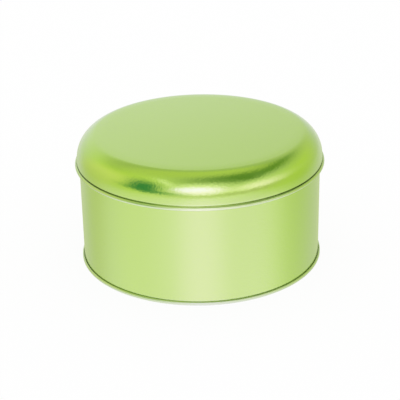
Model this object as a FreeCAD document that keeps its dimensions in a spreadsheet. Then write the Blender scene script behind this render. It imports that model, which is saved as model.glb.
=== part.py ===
"""Round slip-lid tin of drawn and seamed tinplate, in millimetres.

Three pieces are turned about the Z axis and stand on Z = 0:

  base   pressed end, seamed round the foot of the wall; its rim is what the tin stands on
  body   straight wall, with the lock seam that closes it at the back; shut, so solid inside
  lid    pressed dome over a short skirt, whose lower edge is rolled outward into a bead

Each piece is a half-section revolved once round.  The sheet "Sizes" holds every size that can be
chosen; the corners of the sections are formulas in those sizes, so pieces that meet read the same
cells.  In a section, x is the radius and y the height above the table.
"""
import FreeCAD, Part
import math
import os

import Sketcher
from FreeCAD import Vector

SIZES = [
    # alias, value, what it is (angles are in degrees)
    ("total_height", 95.9, "table to the middle of the lid"),
    ("body_radius", 87.0, "outside of the straight wall"),
    ("body_wall", 0.5, "wall that the end is seamed on to"),
    ("lip_bevel", 1.0, "turned-in top edge of the wall"),
    ("lock_width", 0.6, "open line of the lock seam, across"),
    ("lock_depth", 0.25, "open line of the lock seam, in from the wall"),
    ("slip_gap", 0.6, "clear gap between the wall and the lid's skirt"),
    ("sheet", 0.5, "skirt at the neck, where the bead closes on it"),
    ("bead_radius", 1.25, "bends of the rolled edge"),
    ("bead_flat", 0.1, "upright face of the rolled edge, between its bends"),
    ("crease_gap", 0.45, "open line of the crease, between the bead and the lid's lip"),
    ("lip_radius", 0.5, "bend of the lid's lip, down into the crease"),
    ("overhang", 1.1, "foot of the lid's side, out from the wall's recess"),
    ("seat_rise", 4.15, "top edge of the wall, up from the foot of the lid's side"),
    ("side_lean", 1, "lean of the lid's side at its foot, inward"),
    ("side_radius", 41, "slight bow of the lid's side"),
    ("side_turn", 6, "how far the side turns"),
    ("shoulder_radius", 18.6, "broad slope of the lid"),
    ("shoulder_turn", 56.5, "how far the slope turns"),
    ("brow_radius", 10.6, "bend from the slope into the top"),
    ("edge_radius", 100, "slow fall of the top towards its edge"),
    ("edge_turn", 4, "how far that fall turns"),
    ("crown_slope", 0.6, "slope of the top where that fall starts"),
    ("seam_height", 2.5, "rim of the end, up from the table"),
    ("seam_overhang", 1.4, "rim of the end, out from the wall"),
    ("seam_round", 0.7, "lower edges of the rim"),
    ("seam_crown", 0.85, "upper edge of the rim"),
    ("seam_crease", 0.5, "crease between the rim and the wall, down from the rim's top"),
    ("seam_hook", 1.5, "foot of the wall, up from the table, inside the rim"),
    ("seam_gap", 0.15, "clear gap between the wall and the metal folded round it"),
    ("end_sheet", 0.5, "metal of the end"),
    ("countersink_depth", 3.4, "channel inside the rim, up from the table"),
    ("countersink_width", 4.0, "channel inside the rim, across its flat"),
    ("panel_depth", 2.7, "flat of the end, up from the table"),
    ("panel_step", 1.2, "slope from the flat up into the channel, across"),
    ("ring_radius", 58, "middle of the stiffening ring"),
    ("ring_width", 8, "stiffening ring, across"),
    ("ring_rise", 0.9, "stiffening ring, down from the flat"),
]

# Places that follow from the sizes.  Each is a formula that FreeCAD works out from the sheet.
def run_of(radius, start, end):
    """How far in an arc runs while its slope turns from start to end, in degrees from upright."""
    return f"{radius} * (cos({start} * 1 deg) - cos({end} * 1 deg))"


def rise_of(radius, start, end):
    """How far up an arc rises over the same turn."""
    return f"{radius} * (sin({end} * 1 deg) - sin({start} * 1 deg))"


SIDE_END = "(Sizes.side_lean + Sizes.side_turn)"
SLOPE_END = f"({SIDE_END} + Sizes.shoulder_turn)"
TOP_SLOPE = "(90 - Sizes.crown_slope)"
EDGE_SLOPE = f"({TOP_SLOPE} - Sizes.edge_turn)"
SIDE_BEND = ("Sizes.side_radius", "Sizes.side_lean", SIDE_END)
SHOULDER_BEND = ("Sizes.shoulder_radius", SIDE_END, SLOPE_END)
BROW_BEND = ("Sizes.brow_radius", SLOPE_END, EDGE_SLOPE)
EDGE_BEND = ("Sizes.edge_radius", EDGE_SLOPE, TOP_SLOPE)

RECESS_RADIUS = "(Sizes.body_radius + Sizes.slip_gap)"
FOOT_RADIUS = f"({RECESS_RADIUS} + Sizes.overhang)"
SHOULDER_RADIUS = f"({FOOT_RADIUS} - {run_of(*SIDE_BEND)})"
BROW_RADIUS = f"({SHOULDER_RADIUS} - {run_of(*SHOULDER_BEND)})"
EDGE_RADIUS = f"({BROW_RADIUS} - {run_of(*BROW_BEND)})"
TOP_RADIUS = f"({EDGE_RADIUS} - {run_of(*EDGE_BEND)})"
TOP = f"(Sizes.total_height - {TOP_RADIUS} * tan(Sizes.crown_slope / 2 * 1 deg))"
EDGE = f"({TOP} - {rise_of(*EDGE_BEND)})"
BROW = f"({EDGE} - {rise_of(*BROW_BEND)})"
SHOULDER = f"({BROW} - {rise_of(*SHOULDER_BEND)})"
FOOT = f"({SHOULDER} - {rise_of(*SIDE_BEND)})"
SEAT = f"({FOOT} + Sizes.seat_rise)"

NECK_RADIUS = f"({RECESS_RADIUS} + Sizes.sheet)"
BEAD_RADIUS = f"({RECESS_RADIUS} + Sizes.bead_radius)"
LIP_REACH = f"({FOOT_RADIUS} - Sizes.lip_radius * cos(Sizes.side_lean * 1 deg) - {NECK_RADIUS})"
LIP_MIDDLE = f"({FOOT} - Sizes.lip_radius * sin(Sizes.side_lean * 1 deg))"
NECK_TOP = f"({LIP_MIDDLE} - sqrt(Sizes.lip_radius^2 - {LIP_REACH}^2))"
BEAD_TOP = f"({LIP_MIDDLE} - Sizes.lip_radius - Sizes.crease_gap)"
BEAD_UPPER = f"({BEAD_TOP} - Sizes.bead_radius)"
BEAD_LOWER = f"({BEAD_UPPER} - Sizes.bead_flat)"
NECK_FOOT = f"({BEAD_UPPER} + sqrt(2 * Sizes.bead_radius * Sizes.sheet - Sizes.sheet^2))"

FOLD_RADIUS = "(Sizes.body_radius + Sizes.seam_gap)"
RIM_RADIUS = "(Sizes.body_radius + Sizes.seam_overhang)"
CHUCK_OUTSIDE = "(Sizes.body_radius - Sizes.body_wall - Sizes.seam_gap)"
CHUCK_RADIUS = f"({CHUCK_OUTSIDE} - Sizes.end_sheet)"
CHANNEL_RADIUS = f"({CHUCK_RADIUS} - Sizes.countersink_width)"
PANEL_RADIUS = f"({CHANNEL_RADIUS} - Sizes.panel_step)"
END_TOP = "(Sizes.countersink_depth + Sizes.end_sheet)"
RING_BEND = "(Sizes.ring_width^2 / 4 + Sizes.ring_rise^2) / (2 * Sizes.ring_rise)"

START, END = 1, 2  # the ends of an edge, as the sketcher numbers them


def make_sheet(doc):
    """Writes the sizes into a spreadsheet, one row each: what it is, its value, its alias."""
    sheet = doc.addObject("Spreadsheet::Sheet", "Sizes")
    for row, (alias, value, meaning) in enumerate(SIZES, start=1):
        sheet.set(f"A{row}", meaning)
        sheet.set(f"B{row}", str(value))
        sheet.setAlias(f"B{row}", alias)
    doc.recompute()
    return sheet


def origin_feature(body, role):
    """Finds one of a body's own origin planes or axes by its role."""
    return next(f for f in body.Origin.OriginFeatures if f.Role == role)


def new_sketch(body, name, role):
    """Starts a sketch on one of the body's own origin planes."""
    sketch = body.newObject("Sketcher::SketchObject", name)
    sketch.AttachmentSupport = (origin_feature(body, role), [""])
    sketch.MapMode = "FlatFace"
    return sketch


def arc_edge(start, end, radius, large):
    """An arc that turns left on its way from start to end; large takes the long way round."""
    chord = end - start
    reach = math.sqrt(max(radius**2 - (chord.Length / 2) ** 2, 0.0))
    left = Vector(-chord.y, chord.x, 0).normalize()
    centre = start + chord / 2 + left * (-reach if large else reach)
    circle = Part.Circle(centre, Vector(0, 0, 1), radius)
    return Part.ArcOfCircle(circle, circle.parameter(start), circle.parameter(end))


def draw_outline(sketch, corners):
    """Draws a closed outline, counter-clockwise, and ties every corner and bend in it to the sheet.

    A corner is (x, y), (x, y, radius) or (x, y, radius, True): its place, the radius of the edge
    that leaves it where that edge is an arc, and whether the arc goes the long way round.
    """
    places = [Vector(*(float(sketch.evalExpression(c)) for c in corner[:2]), 0) for corner in corners]
    edges = []
    for corner, here, there in zip(corners, places, places[1:] + places[:1]):
        if len(corner) == 2:
            edges.append(sketch.addGeometry(Part.LineSegment(here, there)))
            continue
        radius = corner[2]
        bend = arc_edge(here, there, float(sketch.evalExpression(radius)), len(corner) == 4)
        edges.append(sketch.addGeometry(bend))
        tie(sketch, radius, "Radius", edges[-1])
    for edge, before, corner in zip(edges, edges[-1:] + edges[:-1], corners):
        sketch.addConstraint(Sketcher.Constraint("Coincident", before, END, edge, START))
        for axis, distance, formula in ((-2, "DistanceX", corner[0]), (-1, "DistanceY", corner[1])):
            if formula == "0":
                sketch.addConstraint(Sketcher.Constraint("PointOnObject", edge, START, axis))
            else:
                tie(sketch, formula, distance, edge, START)


def tie(sketch, formula, kind, *where):
    """Adds a dimension whose value follows a formula."""
    value = float(sketch.evalExpression(formula))
    index = sketch.addConstraint(Sketcher.Constraint(kind, *where, value))
    sketch.setExpression(f"Constraints[{index}]", formula)


def turned_piece(doc, name, corners):
    """A body whose half-section is revolved once round the Z axis."""
    body = doc.addObject("PartDesign::Body", name)
    body.Label = name
    section = new_sketch(body, f"{name}_section", "XZ_Plane")
    draw_outline(section, corners)
    turn = body.newObject("PartDesign::Revolution", f"{name}_turn")
    turn.Profile = section
    turn.ReferenceAxis = (section, ["V_Axis"])
    turn.Angle = 360
    doc.recompute()
    return body


def make_lid(doc):
    """Domed lid: low crown, four tangent bends down to the lip, crease, neck and rolled bead.

    The bends turn from the side's lean to the slope of the crown, so each starts at the slope
    where the last one ended, and the brow takes the turn that the others leave.
    """
    lid = [
        ("0", SEAT),
        (RECESS_RADIUS, SEAT),
        (RECESS_RADIUS, BEAD_LOWER, "Sizes.bead_radius"),
        (BEAD_RADIUS, f"{BEAD_LOWER} - Sizes.bead_radius", "Sizes.bead_radius"),
        (f"{BEAD_RADIUS} + Sizes.bead_radius", BEAD_LOWER),
        (f"{BEAD_RADIUS} + Sizes.bead_radius", BEAD_UPPER, "Sizes.bead_radius"),
        (NECK_RADIUS, NECK_FOOT),
        (NECK_RADIUS, NECK_TOP, "Sizes.lip_radius"),
        (FOOT_RADIUS, FOOT, "Sizes.side_radius"),
        (SHOULDER_RADIUS, SHOULDER, "Sizes.shoulder_radius"),
        (BROW_RADIUS, BROW, "Sizes.brow_radius"),
        (EDGE_RADIUS, EDGE, "Sizes.edge_radius"),
        (TOP_RADIUS, TOP, f"{TOP_RADIUS} / sin(Sizes.crown_slope * 1 deg)"),
        ("0", "Sizes.total_height"),
    ]
    return turned_piece(doc, "lid", lid)


def make_body(doc):
    """Straight wall and what it holds, shut between the end and the lid, with its lock seam."""
    wall = [
        ("0", END_TOP),
        ("Sizes.body_radius - Sizes.body_wall", END_TOP),
        ("Sizes.body_radius - Sizes.body_wall", "Sizes.seam_hook"),
        ("Sizes.body_radius", "Sizes.seam_hook"),
        ("Sizes.body_radius", f"{SEAT} - Sizes.lip_bevel"),
        ("Sizes.body_radius - Sizes.lip_bevel", SEAT),
        ("0", SEAT),
    ]
    body = turned_piece(doc, "body", wall)
    cut_lock_seam(doc, body)
    return body


def cut_lock_seam(doc, body):
    """The open line of the lock seam: a shallow upright groove down the back of the wall."""
    whole = body.Shape.Volume
    line = new_sketch(body, "lock_seam_line", "XY_Plane")
    side, floor, outside = (
        "Sizes.lock_width / 2",
        "Sizes.body_radius - Sizes.lock_depth",
        "Sizes.body_radius + Sizes.lock_depth",
    )
    draw_outline(
        line, [(f"-{side}", floor), (side, floor), (side, outside), (f"-{side}", outside)]
    )
    groove = body.newObject("PartDesign::Pocket", "lock_seam")
    groove.Profile = line
    groove.Type = "ThroughAll"
    groove.Reversed = True
    doc.recompute()
    if body.Shape.Volume >= whole:
        raise RuntimeError("the lock seam cuts nothing")


def make_base(doc):
    """Pressed end: flat with a stiffening ring, channel, upright chuck wall and folded rim."""
    end = [
        ("0", "Sizes.panel_depth"),
        ("Sizes.ring_radius - Sizes.ring_width / 2", "Sizes.panel_depth", RING_BEND),
        ("Sizes.ring_radius + Sizes.ring_width / 2", "Sizes.panel_depth"),
        (PANEL_RADIUS, "Sizes.panel_depth"),
        (CHANNEL_RADIUS, "Sizes.countersink_depth"),
        (CHUCK_RADIUS, "Sizes.countersink_depth"),
        (CHUCK_RADIUS, "Sizes.seam_round", "Sizes.seam_round"),
        (f"{CHUCK_RADIUS} + Sizes.seam_round", "0"),
        (f"{RIM_RADIUS} - Sizes.seam_round", "0", "Sizes.seam_round"),
        (RIM_RADIUS, "Sizes.seam_round"),
        (RIM_RADIUS, "Sizes.seam_height - Sizes.seam_crown", "Sizes.seam_crown"),
        (f"{RIM_RADIUS} - Sizes.seam_crown", "Sizes.seam_height"),
        (FOLD_RADIUS, "Sizes.seam_height - Sizes.seam_crease"),
        (FOLD_RADIUS, "Sizes.seam_hook"),
        (CHUCK_OUTSIDE, "Sizes.seam_hook"),
        (CHUCK_OUTSIDE, END_TOP),
        ("0", END_TOP),
    ]
    return turned_piece(doc, "base", end)


def check(doc, pieces):
    """Stops on any object that failed to build and on any piece that isn't one sound solid."""
    for thing in doc.Objects:
        if {"Invalid", "Error"} & set(thing.State):
            raise RuntimeError(f"{thing.Name} failed to build")
        if thing.TypeId == "Sketcher::SketchObject" and not thing.FullyConstrained:
            raise RuntimeError(f"{thing.Name} isn't fully constrained")
    for piece in pieces:
        shape = piece.Shape
        if shape.isNull() or not shape.isValid() or len(shape.Solids) != 1:
            raise RuntimeError(f"{piece.Label} isn't one sound solid")


def main():
    doc = FreeCAD.newDocument("RoundTin")
    make_sheet(doc)
    pieces = [make_base(doc), make_body(doc), make_lid(doc)]
    doc.recompute()
    check(doc, pieces)
    os.makedirs("parts", exist_ok=True)
    for piece in pieces:
        piece.Shape.exportStep(f"parts/{piece.Label}.step")
        print(f"{piece.Label}: {piece.Shape.Volume / 1000:.1f} cm3")


main()
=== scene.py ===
# %% [markdown]
# # A round slip-lid tin in clear green lacquer
#
# The object is a low round tin for cakes or biscuits: a straight wall, a seamed base, and a
# pressed lid that slips over the wall and ends in a rolled bead.  It is tinplate, bright as a
# mirror, under a coat of clear green lacquer, so nearly all that the eye sees on it is the studio
# round it, tinted green.  Two things decide whether it looks right: how smoothly its bends turn,
# and what stands round it to be reflected.
#
# The CAD model gives the frame: every piece below takes its place from it, in metres.

# %% Load the frame
import math

import bpy
import numpy as np
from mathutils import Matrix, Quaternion, Vector


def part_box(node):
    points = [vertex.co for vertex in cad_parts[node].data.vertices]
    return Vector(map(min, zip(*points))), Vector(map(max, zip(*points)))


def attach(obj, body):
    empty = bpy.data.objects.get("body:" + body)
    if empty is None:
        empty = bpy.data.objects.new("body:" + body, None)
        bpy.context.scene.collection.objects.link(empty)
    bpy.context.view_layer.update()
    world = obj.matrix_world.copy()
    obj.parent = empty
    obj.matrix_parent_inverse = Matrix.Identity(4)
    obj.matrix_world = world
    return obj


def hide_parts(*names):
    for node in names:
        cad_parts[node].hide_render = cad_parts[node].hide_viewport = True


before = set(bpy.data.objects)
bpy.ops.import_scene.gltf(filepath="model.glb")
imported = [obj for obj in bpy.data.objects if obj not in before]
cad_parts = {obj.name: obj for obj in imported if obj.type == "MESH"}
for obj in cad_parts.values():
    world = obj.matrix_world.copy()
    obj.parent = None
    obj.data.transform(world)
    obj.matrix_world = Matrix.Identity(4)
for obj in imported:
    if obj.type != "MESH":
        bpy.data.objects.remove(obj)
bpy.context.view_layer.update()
mm = 0.001

# %% [markdown]
# ## Sizes
#
# The overall sizes are read from the CAD nodes, so the pieces can't drift from them.  The bends,
# folds and clearances between them are the tinsmith's own sizes, given in millimetres, under the
# names that the CAD source has for them.

# %% Sizes from the frame, and the tinsmith's sizes
lid_low, lid_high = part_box("lid")
body_low, body_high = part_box("body")
base_low, base_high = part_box("base")

total_height = lid_high.z
wall_radius = (body_high.x - body_low.x) / 2
seat = body_high.z  # the wall's top edge, where the lid rests on it
rim_radius = (base_high.x - base_low.x) / 2

slip_gap, sheet, overhang, seat_rise = 0.6 * mm, 0.5 * mm, 1.1 * mm, 4.15 * mm
bead_radius, bead_flat, crease_gap, lip_radius = 1.25 * mm, 0.1 * mm, 0.45 * mm, 0.5 * mm
# Radii of the lid's bends, and how many degrees each turns; lean and slope are in degrees too.
side_lean, side_radius, side_turn = 1, 41 * mm, 6
shoulder_radius, shoulder_turn = 18.6 * mm, 56.5
brow_radius = 10.6 * mm
edge_radius, edge_turn, crown_slope = 100 * mm, 4, 0.6
print(f"tin {2 * wall_radius / mm:.1f} mm across the wall, {total_height / mm:.1f} mm high")

# %% [markdown]
# ## Turned surfaces
#
# Drawn, spun and seamed tinware is round, so each piece is one half-section carried once round
# the axis.  Blender's Screw modifier would do that, but a surface worked out with numpy can also
# be dented where the wall's seam runs, and can carry extra values with each point, which the
# finish needs later.  The half-section is a row of arcs and straight runs.  A broad arc gets a
# point every degree or two, because a mirror finish shows any flat between two points, and the
# small arcs of a bead or lip need fewer.

# %% Half-sections: arcs and runs
def arc(centre_r, centre_z, radius, start, end, step=2.0):
    """Points of an arc: centre plus radius times the cosine and sine of an even row of angles."""
    count = max(3, math.ceil(abs(end - start) / step) + 1)
    angles = np.radians(np.linspace(start, end, count))
    ring_r, ring_z = centre_r + radius * np.cos(angles), centre_z + radius * np.sin(angles)
    return np.column_stack((ring_r, ring_z))


def run(*corners, between=4):
    """Points along straight runs: each run is divided evenly, and its last corner closes it."""
    corners = np.array(corners, float)
    share = np.linspace(0, 1, between, endpoint=False)[:, None]
    rows = [a + (b - a) * share for a, b in zip(corners[:-1], corners[1:])]
    return np.concatenate([*rows, corners[-1:]])


def without_repeats(section):
    """The section without points that repeat the one before them."""
    smallest_step = 1e-4 * mm
    steps = np.hypot(*np.diff(section, axis=0).T)
    return section[np.concatenate(([True], steps > smallest_step))]


print("a quarter turn has", len(arc(0, 0, 10 * mm, 0, 90)), "points")

# %% A half-section carried round the axis
ROUND = 360  # points round the axis, one to a degree
BESIDE_SEAM = (0.05, 0.2, 0.4, 0.8)  # degrees to either side of the back, for a dented wall
SHARPEST_SMOOTH = 35  # degrees; a fold tighter than this shows an edge


def turned(name, section, dent=None, **values):
    """A closed surface: radius r and height z of the section, at angle a, go to (r cos a, r sin a, z).

    The section starts and ends on the axis, where all angles share one point, and has the metal
    on its left.  dent(r, z, a) is taken off the radius.  Each of values is a function of r, z and
    a too, and is kept with the points under its name as a number from 0 to 1.
    """
    section = without_repeats(section)
    inner = section[1:-1]
    angles = np.linspace(0, 2 * np.pi, ROUND, endpoint=False)
    if dent is not None:
        beside = np.array(BESIDE_SEAM)
        near_seam = np.radians(90 + np.concatenate((-beside, beside)))
        angles = np.unique(np.concatenate((angles, near_seam)))
    r, a = np.meshgrid(inner[:, 0], angles, indexing="ij")
    z = np.broadcast_to(inner[:, 1:], r.shape)
    if dent is not None:
        r = r - dent(r, z, a)
    ring = np.stack((r * np.cos(a), r * np.sin(a), z), axis=-1).reshape(-1, 3)
    points = np.concatenate((ring, [(0, 0, section[0, 1]), (0, 0, section[-1, 1])]))

    rows, turns = len(inner), len(angles)
    index = np.arange(rows * turns).reshape(rows, turns)
    here, ahead = index, np.roll(index, -1, axis=1)
    quads = np.stack((here[:-1], ahead[:-1], ahead[1:], here[1:]), axis=-1).reshape(-1, 4)
    first, last = np.full(turns, rows * turns), np.full(turns, rows * turns + 1)
    start_fan = np.column_stack((first, ahead[0], here[0]))
    end_fan = np.column_stack((last, here[-1], ahead[-1]))

    mesh = bpy.data.meshes.new(name)
    faces = quads.tolist() + start_fan.tolist() + end_fan.tolist()
    mesh.from_pydata(points.tolist(), [], faces)
    for value_name, worked_out in values.items():
        at_poles = (0, 0)
        each = np.append(np.clip(worked_out(r, z, a), 0, 1), at_poles).astype(np.float32)
        mesh.attributes.new(value_name, "FLOAT", "POINT").data.foreach_set("value", each)
    mesh.polygons.foreach_set("use_smooth", np.ones(len(mesh.polygons), bool))
    mesh.set_sharp_from_angle(angle=math.radians(SHARPEST_SMOOTH))
    mesh.validate()
    piece = bpy.data.objects.new(name, mesh)
    bpy.context.collection.objects.link(piece)
    triangles = 2 * len(quads) + 2 * turns
    print(f"{name}: {len(points)} points, {triangles} triangles, {len(section)} along the section")
    return piece


# %% [markdown]
# ## Values that ride on the points
#
# A rolled or folded edge stretches its lacquer.  Creases get painted shade, which fades out
# towards the front, and the front of the lid's crease and bead and of the groove at the wall's
# foot get painted light, facing the soft box in front.  Each is a number from 0 to 1 kept with
# the points, strongest at one place in the half-section, so it follows the metal.  It could be
# painted by hand, but a formula is smooth and stays right when a size changes.

# %% A value round one place in the section
def near(place, reach, most=1.0, front=1.0, spread=36):
    """A height times e to the power of minus the fourth power of distance over reach.

    The distance is from place.  The height is most at the back and front at the front, and goes
    from one to the other by a bell: e to the power of minus the square of the angle from the
    front over spread, in degrees.
    """
    middle_r, middle_z = place

    def worked_out(r, z, a):
        ahead = np.exp(-(((a - 1.5 * np.pi) / math.radians(spread)) ** 2))
        distance = np.hypot(r - middle_r, z - middle_z) / reach
        return np.exp(-(distance**4)) * (most + (front - most) * ahead)

    return worked_out


print("a value at half its reach is", round(float(near((0, 0), 1.0)(0.5, 0, 0)), 2))

# %% [markdown]
# ## The lid
#
# A flat disc of tinplate is pressed over a die into a shallow dome.  Its top is a broad low crown
# that falls a little faster near its edge; then come a tight brow, a long shoulder and a slightly
# bowed side, each running on smoothly from the last.  The side ends in a lip, which turns under to
# a neck that slips over the wall, and the neck's cut edge is rolled outward into a bead, so that
# no raw edge is left.  Lip and bead nearly touch, which leaves one fine crease, dark partly from
# the narrow gap and partly from painted shade.
#
# Each bend is an arc whose centre lies on the line where the last one ended, square to the slope
# there, so that they meet without a kink, which a mirror finish would show as a line right round.
# One spline could draw the dome too, but an arc has a radius and a turn that can be measured.

# %% Bends that run on from each other
def towards(slope):
    """One unit outward and up, at that many degrees above level."""
    return np.array((math.cos(math.radians(slope)), math.sin(math.radians(slope))))


def bends(foot, lean, turns):
    """Arcs from a foot upward, each running on from the last.

    A centre lies its radius inward of the last point, square to the way the surface runs there.
    """
    place, slope, rows = np.array(foot), lean, []
    for radius, turn in turns:
        centre = place - radius * towards(slope)
        rows.append(arc(*centre, radius, slope, slope + turn, step=min(1.5, turn / 8)))
        place, slope = rows[-1][-1], slope + turn
    return np.concatenate(rows)


print("level and upright:", towards(0).round(3), towards(90).round(3))

# %% The lid's section
BEAD_STEP, LIP_STEP, CROWN_STEP = 9, 6, 0.05  # degrees from point to point of an arc
recess_radius = wall_radius + slip_gap
neck_radius = recess_radius + sheet
foot = (recess_radius + overhang, seat - seat_rise)
brow_turn = 90 - crown_slope - edge_turn - (side_lean + side_turn + shoulder_turn)
dome = bends(
    foot,
    side_lean,
    (
        (side_radius, side_turn),
        (shoulder_radius, shoulder_turn),
        (brow_radius, brow_turn),
        (edge_radius, edge_turn),
    ),
)
crown_radius = dome[-1, 0] / math.sin(math.radians(crown_slope))
crown_centre = total_height - crown_radius

lip_r, lip_z = np.array(foot) - lip_radius * towards(side_lean)
lip_start = -math.degrees(math.acos((neck_radius - lip_r) / lip_radius))
bead_r = recess_radius + bead_radius
bead_upper = lip_z - lip_radius - crease_gap - bead_radius
bead_lower = bead_upper - bead_flat
bead_end = math.degrees(math.acos((neck_radius - bead_r) / bead_radius))

lid_section = np.concatenate(
    (
        run((0, seat), (recess_radius, seat), (recess_radius, bead_lower)),
        arc(bead_r, bead_lower, bead_radius, 180, 360, step=BEAD_STEP),
        arc(bead_r, bead_upper, bead_radius, 0, bead_end, step=BEAD_STEP),
        arc(lip_r, lip_z, lip_radius, lip_start, side_lean, step=LIP_STEP),
        dome,
        arc(0, crown_centre, crown_radius, 90 - crown_slope, 90, step=CROWN_STEP),
    )
)
print(f"lid: dome springs at {foot[1] / mm:.2f} mm, brow turns {brow_turn:.1f} degrees")

# %% The lid
neck_middle = (neck_radius, lip_z - lip_radius - crease_gap / 2)
bead_middle = (bead_r, (bead_upper + bead_lower) / 2)
CREASE_REACH, FOLD_REACH = 1.0 * mm, 1.7 * mm
SHADE_SPREAD, BEAD_LIGHT_SPREAD = 50, 14  # degrees to either side of the front

# Painted light: the crease and the bead are made paler at the front, facing the soft box in front.
crease_front_light = near(neck_middle, CREASE_REACH, most=0.0, front=1.0)
front_lightened = near(bead_middle, FOLD_REACH, most=0.0, front=0.9, spread=BEAD_LIGHT_SPREAD)
lid = turned(
    "lid_shell",
    lid_section,
    # Painted shade in the crease between lip and bead, fading out towards the front.
    crevice=near(neck_middle, CREASE_REACH, front=0.0, spread=SHADE_SPREAD),
    fold=near(bead_middle, FOLD_REACH),
    worn=lambda r, z, a: crease_front_light(r, z, a) + front_lightened(r, z, a),
)
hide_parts("lid")
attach(lid, "root")

# %% [markdown]
# ## The wall
#
# The wall is a strip of tinplate bent round until its ends meet at the back, where they are
# hooked into each other and pressed flat.  From outside, that lock seam is a fine upright line.
# A separate strip could stand for it, but the real seam is the same sheet, so here it is a dent
# in the same surface, a little darker, with a few extra upright rows of points beside it.  The
# wall also has closer points just over its foot, so that the fold's value fades out near it.  The
# groove at the foot gets painted shade, fading out towards the front, and painted light at the
# front.

# %% The wall's section and its lock seam
body_wall, lip_bevel, seam_hook = 0.5 * mm, 1.0 * mm, 1.5 * mm
lock_width, lock_depth = 0.6 * mm, 0.25 * mm
seam_height, seam_gap, end_top = 2.5 * mm, 0.15 * mm, base_high.z

inner_radius, foot_top = wall_radius - body_wall, seam_height + 1.2 * mm

wall_section = np.concatenate(
    (
        run((0, end_top), (inner_radius, end_top), (inner_radius, seam_hook)),
        run((wall_radius, seam_hook), (wall_radius, seam_height), between=5),
        run((wall_radius, seam_height), (wall_radius, foot_top), between=6),
        run((wall_radius, foot_top), (wall_radius, seat - lip_bevel), between=24),
        run((wall_radius - lip_bevel, seat), (0, seat)),
    )
)


def seam_line(r, z, angle):
    """1 on the seam's open line, and 0 away from it and off the wall's outside.

    Between them, e to the minus fourth power of the way round the wall over half the seam's width.
    """
    across = wall_radius * (angle - np.pi / 2)
    bell = np.exp(-((across / (lock_width / 2)) ** 4))
    return np.where(r > wall_radius - lock_width, bell, 0)


print(f"wall: {len(wall_section)} points along the section, seam {lock_width / mm:.1f} mm wide")

# %% The wall
GROOVE_REACH, GROOVE_SHADE, GROOVE_FRONT_LIGHT = 0.8 * mm, 0.45, 0.7
SHADE_REACH_WALL, SHADE_REACH_BASE = 0.5 * mm, 0.45 * mm
wall_foot = (wall_radius, seam_height - 0.3 * mm)  # just under the top of the folded rim
foot_shade = near(wall_foot, SHADE_REACH_WALL, most=GROOVE_SHADE, front=0.0, spread=SHADE_SPREAD)
wall = turned(
    "wall",
    wall_section,
    dent=lambda r, z, a: lock_depth * seam_line(r, z, a),
    # Painted shade in the groove at the foot, fading out towards the front, and the seam's dark line.
    crevice=lambda r, z, a: foot_shade(r, z, a) + seam_line(r, z, a),
    fold=near(wall_foot, GROOVE_REACH),
    # Painted light in the same groove at the front.
    worn=near(wall_foot, GROOVE_REACH, most=0.0, front=GROOVE_FRONT_LIGHT),
)
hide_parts("body")
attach(wall, "root")

# %% [markdown]
# ## The base
#
# The base is a pressed end.  Its edge is folded up over the foot of the wall and rolled tight, a
# double seam, which leaves a narrow rim that the tin stands on.  Inside the rim a channel steps up
# and back to a flat panel, stiffened by one round ridge.  It could be put together from a disc,
# a ring and a rim, but the real end is one sheet, so here it is one section.

# %% The base's section
seam_round, seam_crown, seam_crease = 0.7 * mm, 0.85 * mm, 0.5 * mm
end_sheet, countersink_width, panel_step = 0.5 * mm, 4.0 * mm, 1.2 * mm
countersink_depth, panel_depth = 3.4 * mm, 2.7 * mm
ring_radius, ring_width, ring_rise = 58 * mm, 8 * mm, 0.9 * mm

fold_radius = wall_radius + seam_gap
chuck_outside = wall_radius - body_wall - seam_gap
chuck_radius = chuck_outside - end_sheet
channel_radius = chuck_radius - countersink_width

# A ridge's arc from its width and rise: radius is half the width squared plus the rise squared,
# over twice the rise.
ring_bend = (ring_width**2 / 4 + ring_rise**2) / (2 * ring_rise)
ring_half = math.degrees(math.asin(ring_width / 2 / ring_bend))
ring_centre = panel_depth - ring_rise + ring_bend

base_section = np.concatenate(
    (
        run((0, panel_depth), (ring_radius - ring_width / 2, panel_depth), between=8),
        arc(ring_radius, ring_centre, ring_bend, 270 - ring_half, 270 + ring_half),
        run(
            (ring_radius + ring_width / 2, panel_depth),
            (channel_radius - panel_step, panel_depth),
            (channel_radius, countersink_depth),
            (chuck_radius, countersink_depth),
            (chuck_radius, seam_round),
        ),
        arc(chuck_radius + seam_round, seam_round, seam_round, 180, 270, step=BEAD_STEP),
        arc(rim_radius - seam_round, seam_round, seam_round, 270, 360, step=BEAD_STEP),
        arc(rim_radius - seam_crown, seam_height - seam_crown, seam_crown, 0, 90, step=BEAD_STEP),
        run(
            (fold_radius, seam_height - seam_crease),
            (fold_radius, seam_hook),
            (chuck_outside, seam_hook),
            (chuck_outside, end_top),
            (0, end_top),
        ),
    )
)
print(f"base: {len(base_section)} points along the section, rim {seam_height / mm:.1f} mm high")

# %% The base
groove = (fold_radius, seam_height - seam_crease)
rim_fold = near((rim_radius, seam_height / 2), FOLD_REACH)
groove_fold = near(groove, GROOVE_REACH)
base = turned(
    "base_end",
    base_section,
    # Painted shade in the groove over the rim, fading out towards the front.
    crevice=near(groove, SHADE_REACH_BASE, most=GROOVE_SHADE, front=0.0, spread=SHADE_SPREAD),
    fold=lambda r, z, a: rim_fold(r, z, a) + groove_fold(r, z, a),
    # Painted light in the same groove at the front.
    worn=near(groove, GROOVE_REACH, most=0.0, front=GROOVE_FRONT_LIGHT),
)
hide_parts("base")
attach(base, "root")
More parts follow.
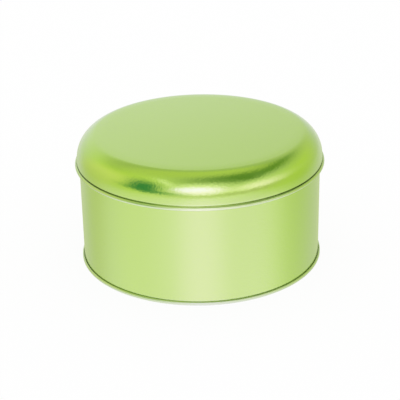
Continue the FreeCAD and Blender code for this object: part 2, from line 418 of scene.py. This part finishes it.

# %% [markdown]
# ## Finish: clear green lacquer over bright tinplate
#
# Tinplate is steel with a skin of tin, rolled bright.  Over it lies a stoved lacquer, clear and
# dyed green: light goes in through the dye, off the metal and out again, so the metal's reflection
# is green, while the lacquer's own skin adds a thin white one that grows towards the outline.  In
# the shader the first is a metal with a green base colour, and the second is its coat.
#
# What gives it life is small: the lacquer's fine orange peel, which breaks up the borders of
# reflections, a slow waviness of thin sheet, a thinner, paler and duller coat where the sheet is
# folded tight, painted light at the front of the crease, bead and foot groove, painted shade in
# the creases and grooves, and a darker line along the lock seam.  An image could carry all this,
# but noise on the piece's own coordinates and the values kept with its points need no unwrapping
# and have no seams.

# %% Helpers for colours and nodes
def linear(hex_colour):
    """An sRGB hex colour as linear red, green, blue and 1: straight below 0.04, a 2.4 power above."""
    channels = np.array([int(hex_colour[i : i + 2], 16) / 255 for i in (1, 3, 5)])
    low = channels / 12.92
    high = ((channels + 0.055) / 1.055) ** 2.4
    return (*np.where(channels <= 0.04045, low, high).tolist(), 1.0)


def node(tree, kind, inputs=(), out=0, **settings):
    """Adds a node and returns one of its outputs.

    settings go on the node.  inputs says what goes into its sockets, each by number or name: a
    value, or another node's output, which is linked.
    """
    made = tree.nodes.new(kind)
    for setting, value in settings.items():
        setattr(made, setting, value)

    def find(sockets, key):
        if isinstance(key, int):
            return sockets[key]
        return next(socket for socket in sockets if socket.name == key and socket.enabled)

    for key, value in dict(inputs).items():
        if isinstance(value, bpy.types.NodeSocket):
            tree.links.new(value, find(made.inputs, key))
        else:
            find(made.inputs, key).default_value = value
    return find(made.outputs, out) if made.outputs else made


print("middle grey is", round(linear("#808080")[0], 3), "linear")

# %% The lacquered tinplate
GREEN = "#BCD876"  # tinplate through a full coat of the green lacquer
THIN_GREEN = "#C8D8A8"  # the same where it is stretched thin over a tight fold
PAINTED_LIGHT_GREEN = "#DDEEA8"  # painted light: paler at the front of the crease, bead and foot groove, facing the soft box
SHADE = "#708642"  # painted shade in the creases, fading out towards the front; also the lock seam's dark line

GRAIN, GRAIN_HEIGHT = 1.6 * mm, 0.09 * mm  # orange peel; real peel is finer, too fine to show
WAVE, WAVE_HEIGHT = 45 * mm, 0.02 * mm  # slow hollows and swells of thin sheet
SMOOTHEST, ROUGHEST = 0.12, 0.17  # roughness of the bright metal, by the peel's lows and highs
DULLED = 0.25  # how much rougher it is where the lacquer is stretched over a fold


def lacquered_tinplate(name):
    """Metal tinted by the lacquer, under the lacquer's own clear skin, with peel and waviness.

    Every piece carries fold, painted light and painted shade, so all three share this recipe.
    """
    material = bpy.data.materials.new(name)
    material.use_nodes = True
    tree = material.node_tree
    tree.nodes.clear()
    place = node(tree, "ShaderNodeTexCoord", out="Object")
    fold = node(tree, "ShaderNodeAttribute", attribute_name="fold", out="Fac")
    worn = node(tree, "ShaderNodeAttribute", attribute_name="worn", out="Fac")
    crevice = node(tree, "ShaderNodeAttribute", attribute_name="crevice", out="Fac")
    grain = node(tree, "ShaderNodeTexNoise", {"Vector": place, "Scale": 1 / GRAIN, "Detail": 2.0})
    wave = node(tree, "ShaderNodeTexNoise", {"Vector": place, "Scale": 1 / WAVE, "Detail": 1.0})

    colour = {"Factor": fold, "A": linear(GREEN), "B": linear(THIN_GREEN)}
    paled = node(tree, "ShaderNodeMix", colour, data_type="RGBA", out="Result")
    # Painted light: paler green at the front of the crease, bead and foot groove.
    colour = {"Factor": worn, "A": paled, "B": linear(PAINTED_LIGHT_GREEN)}
    front_lightened = node(tree, "ShaderNodeMix", colour, data_type="RGBA", out="Result")
    # Painted shade in the creases and grooves, and the lock seam's dark line.
    colour = {"Factor": crevice, "A": front_lightened, "B": linear(SHADE)}
    shaded = node(tree, "ShaderNodeMix", colour, data_type="RGBA", out="Result")

    noise = {"Value": grain, "From Min": 0.3, "From Max": 0.7}  # nearly all of the noise's range
    span = {**noise, "To Min": SMOOTHEST, "To Max": ROUGHEST}
    peeled = node(tree, "ShaderNodeMapRange", span)
    dulled = {0: fold, 1: DULLED, 2: peeled}
    roughness = node(tree, "ShaderNodeMath", dulled, operation="MULTIPLY_ADD")
    swells = {"Height": wave, "Strength": 1.0, "Distance": WAVE_HEIGHT}
    swell = node(tree, "ShaderNodeBump", swells)
    relief = {"Height": grain, "Normal": swell, "Strength": 1.0, "Distance": GRAIN_HEIGHT}
    surface = {
        "Base Color": shaded,
        "Roughness": roughness,
        "Normal": node(tree, "ShaderNodeBump", relief),
        "Metallic": 1.0,
        "Coat Weight": 1.0,
        "Coat Roughness": 0.08,
        "Coat IOR": 1.5,
    }
    shader = node(tree, "ShaderNodeBsdfPrincipled", surface)
    node(tree, "ShaderNodeOutputMaterial", {"Surface": shader})
    print(f"{name}: green {GREEN}, folds {THIN_GREEN}, peel {GRAIN / mm:.1f} mm")
    return material


lid.data.materials.append(lacquered_tinplate("lacquered_tinplate_lid"))
wall.data.materials.append(lacquered_tinplate("lacquered_tinplate_wall"))
base.data.materials.append(lacquered_tinplate("lacquered_tinplate_end"))

# %% [markdown]
# ## The studio
#
# The tin stands on a white table in a white room.  Bright metal shows whatever is round it, so
# the room's lamps and its dark gaps are laid out with care: a window-like soft box in front, a
# long one to the right, a dark gap to the left and another overhead.  They are drawn in the world
# as soft ovals, each at its own compass angle and height, and only reflections see them.  Real
# area lamps could stand there, but they would light the table unevenly too, and an oval's place
# and brightness are simpler to set.  Seen directly, the room is plain white, and as a light
# it is a plain, even white.

# %% Ovals in the sky
world = bpy.data.worlds.new("white_studio")
world.use_nodes = True
sky = world.node_tree
sky.nodes.clear()
direction = node(sky, "ShaderNodeTexCoord", out="Generated")


def oval(azimuth, height, half_width, half_height, softness, tilt):
    """1 inside an oval of the sky, 0 outside, with an even S across its soft border.

    The centre lies at azimuth, in degrees from the front towards the right, and at height above
    level.  A direction's distance is its angle across and its angle up from the centre, each
    divided by the oval's half size and taken together as the two sides of a right angle.
    """
    a, h, t = (math.radians(v) for v in (azimuth, height, tilt))
    centre = Vector((math.sin(a) * math.cos(h), -math.cos(a) * math.cos(h), math.sin(h)))
    level = Vector((math.cos(a), math.sin(a), 0))
    upward = Vector((-math.sin(a) * math.sin(h), math.cos(a) * math.sin(h), math.cos(h)))
    wide = level * math.cos(t) + upward * math.sin(t)
    tall = upward * math.cos(t) - level * math.sin(t)
    along = {"operation": "DOT_PRODUCT", "out": "Value"}
    inward, sideways, rising = (
        node(sky, "ShaderNodeVectorMath", {0: direction, 1: axis}, **along)
        for axis in (centre, wide, tall)
    )
    across = node(sky, "ShaderNodeMath", {0: sideways, 1: inward}, operation="ARCTAN2")
    up = node(sky, "ShaderNodeMath", {0: rising}, operation="ARCSINE")
    x = node(sky, "ShaderNodeMath", {0: across, 1: math.radians(half_width)}, operation="DIVIDE")
    y = node(sky, "ShaderNodeMath", {0: up, 1: math.radians(half_height)}, operation="DIVIDE")
    offset = node(sky, "ShaderNodeCombineXYZ", {"X": x, "Y": y})
    distance = node(sky, "ShaderNodeVectorMath", {0: offset}, operation="LENGTH", out="Value")
    border = {"Value": distance, "From Min": 1 + softness, "From Max": 1 - softness}
    return node(sky, "ShaderNodeMapRange", border, interpolation_type="SMOOTHSTEP")


print("sky named", world.name)

# %% Brightnesses in the room
# Red, green and blue, where 1 is a white wall.  A lamp has more red and blue than green, because
# the lacquer would otherwise turn it green, and on the real tin a lamp's reflection is nearly white.
LAMP, SOFT_BOX, LONG_BOX = (1.8, 1.4, 3.8), (1.8, 1.4, 2.8), (1.8, 1.4, 2.4)
GLOW, FRAME, PALE = (1.4, 1.2, 2.0), (1.2, 1.2, 1.1), (1.0, 1.0, 0.5)
HAZE, LEAFY, DIM, EDGE = (0.7, 0.8, 0.3), (0.75, 0.9, 0.2), (0.55, 0.65, 0.3), (0.7, 0.7, 0.5)
GAP, DARK = (0.15, 0.3, 0.05), (0.05, 0.3, 0.15)
TABLE_FRONT, TABLE_BACK = (1.25, 1.15, 1.6), (1.3, 1.2, 1.7)
ROOM_FRONT, ROOM_BACK = (1.05, 1.1, 0.8), (0.9, 0.93, 1.06)
SOFT, FIRM = 1.0, 0.6  # how much of an oval is border
print("brightest lamp", max(LAMP), "darkest gap", min(GAP))

# %% The white room as reflections see it
# (name, azimuth, height, half width, half height, softness, tilt, brightness), angles in degrees
ROOM = [
    ("haze overhead", -90, 30, 55, 40, SOFT, -45, LEAFY),
    ("gap overhead", 100, 65, 55, 25, SOFT, -35, GAP),
    ("haze behind, high", -165, 75, 35, 20, FIRM, 0, HAZE),
    ("gap on the left", -57, 25, 15, 20, FIRM, 30, DARK),
    ("foot of the gap on the left", -50, 10, 25, 5, SOFT, 0, DARK),
    ("strip behind, left", -155, 50, 30, 10, SOFT, 0, DIM),
    ("haze on the right", 110, 15, 60, 15, SOFT, 20, HAZE),
    ("top of the soft box in front", 0, 40, 20, 15, FIRM, 0, FRAME),
    ("soft box in front", 0, 25, 20, 15, FIRM, 0, SOFT_BOX),
    ("lamp inside the soft box", -5, 30, 15, 8, FIRM, 0, LAMP),
    ("long box on the right", 75, 15, 30, 10, SOFT, -15, LONG_BOX),
    ("gap over the long box", 60, 55, 10, 10, SOFT, 0, GAP),
    ("dark streak on the right", 110, 50, 20, 5, SOFT, -10, GAP),
    ("far edge of the table", 60, 5, 70, 5, SOFT, 0, EDGE),
    ("bright frame on the left", -40, 50, 15, 3, FIRM, -50, FRAME),
    ("glow on the table", 0, -55, 20, 40, FIRM, 0, GLOW),
    ("table on the right", 100, 0, 30, 30, SOFT, -25, LEAFY),
    ("table on the left", -105, 5, 20, 40, FIRM, -40, PALE),
    ("table behind", 180, -30, 70, 25, SOFT, 0, DIM),
]

parts = node(sky, "ShaderNodeSeparateXYZ", {"Vector": direction}).node.outputs
ahead_to_behind = {"Value": parts["Y"], "From Min": -0.6, "From Max": 0.8}
behind = node(sky, "ShaderNodeMapRange", ahead_to_behind, interpolation_type="SMOOTHSTEP")
below_to_above = {"Value": parts["Z"], "From Min": -0.35, "From Max": 0.1}
above = node(sky, "ShaderNodeMapRange", below_to_above, interpolation_type="SMOOTHSTEP")
room = {}
for name, front, back in (("table", TABLE_FRONT, TABLE_BACK), ("walls", ROOM_FRONT, ROOM_BACK)):
    colours = {"Factor": behind, "A": (*front, 1.0), "B": (*back, 1.0)}
    room[name] = node(sky, "ShaderNodeMix", colours, data_type="RGBA", out="Result")
colours = {"Factor": above, "A": room["table"], "B": room["walls"]}
drawn = node(sky, "ShaderNodeMix", colours, data_type="RGBA", out="Result")
for _, *place, brightness in ROOM:
    colours = {"Factor": oval(*place), "A": drawn, "B": (*brightness, 1.0)}
    drawn = node(sky, "ShaderNodeMix", colours, data_type="RGBA", out="Result")
print(f"{len(ROOM)} ovals in the sky, {len(sky.nodes)} nodes")

# %% White to the eye, the drawn room to reflections, even light to all else
rays = node(sky, "ShaderNodeLightPath").node.outputs
mirrored = {0: rays["Is Glossy Ray"], 1: rays["Is Transmission Ray"]}
in_mirror = node(sky, "ShaderNodeMath", mirrored, operation="MAXIMUM")
colours = {"Factor": in_mirror, "A": (1.0, 1.0, 1.0, 1.0), "B": drawn}
seen = node(sky, "ShaderNodeMix", colours, data_type="RGBA", out="Result")
backdrop = node(sky, "ShaderNodeBackground", {"Color": seen, "Strength": 1.0})
node(sky, "ShaderNodeOutputWorld", {"Surface": backdrop})
bpy.context.scene.world = world
print("world in use:", bpy.context.scene.world.name)

# %% [markdown]
# ## The table
#
# A broad white table.  The eye sees it almost as a plain white, with a little of the tin's soft
# shadow left where the two meet.  Reflections don't see it, because the drawn room below eye level
# already stands for it.

# %% The table
half = 3.0  # metres from the tin to each edge
WHITE_TO_EYE = 0.93  # the rest is the matt table itself, which keeps the shadow
corners = [(-half, -half, 0), (half, -half, 0), (half, half, 0), (-half, half, 0)]
table_mesh = bpy.data.meshes.new("table")
table_mesh.from_pydata(corners, [], [(0, 1, 2, 3)])
table = bpy.data.objects.new("table", table_mesh)
bpy.context.collection.objects.link(table)
table.visible_glossy = False

paper = bpy.data.materials.new("white_table")
paper.use_nodes = True
tree = paper.node_tree
tree.nodes.clear()
matt = node(tree, "ShaderNodeBsdfDiffuse", {"Color": linear("#FAFAFA")})
bright = node(tree, "ShaderNodeEmission", {"Color": (1, 1, 1, 1), "Strength": 1.0})
to_eye = node(tree, "ShaderNodeLightPath", out="Is Camera Ray")
lift = node(tree, "ShaderNodeMath", {0: to_eye, 1: WHITE_TO_EYE}, operation="MULTIPLY")
whitened = node(tree, "ShaderNodeMixShader", {0: lift, 1: matt, 2: bright})
node(tree, "ShaderNodeOutputMaterial", {"Surface": whitened})
table_mesh.materials.append(paper)
print(f"table {2 * half:.0f} m across, {WHITE_TO_EYE:.0%} plain white to the eye")

# %% [markdown]
# ## The camera
#
# A long lens about 0.9 m away, looking down on the tin at about 24 degrees, held a touch askew.
# A long lens keeps the tin's sides nearly upright, as in a catalogue.

# %% The camera
camera_data = bpy.data.cameras.new("camera")
camera_data.lens = 110.9  # lens and sensor in millimetres
camera_data.sensor_width = 36
camera = bpy.data.objects.new("camera", camera_data)
bpy.context.collection.objects.link(camera)
bpy.context.scene.camera = camera
stand = Vector((0, -826.9, 414.4)) * mm
aim = Vector((-0.3, 0, 39.58)) * mm
held_askew = math.radians(-1.12)
looking = (aim - stand).to_track_quat("-Z", "Y")
camera.rotation_mode = "QUATERNION"
camera.rotation_quaternion = looking @ Quaternion((0, 0, 1), held_askew)
camera.location = stand
print(f"camera {(stand - aim).length:.2f} m from its aim, {camera_data.lens} mm lens")

# %% Colours as written
view = bpy.context.scene.view_settings
view.view_transform = "Standard"
print("colours shown by", view.view_transform)
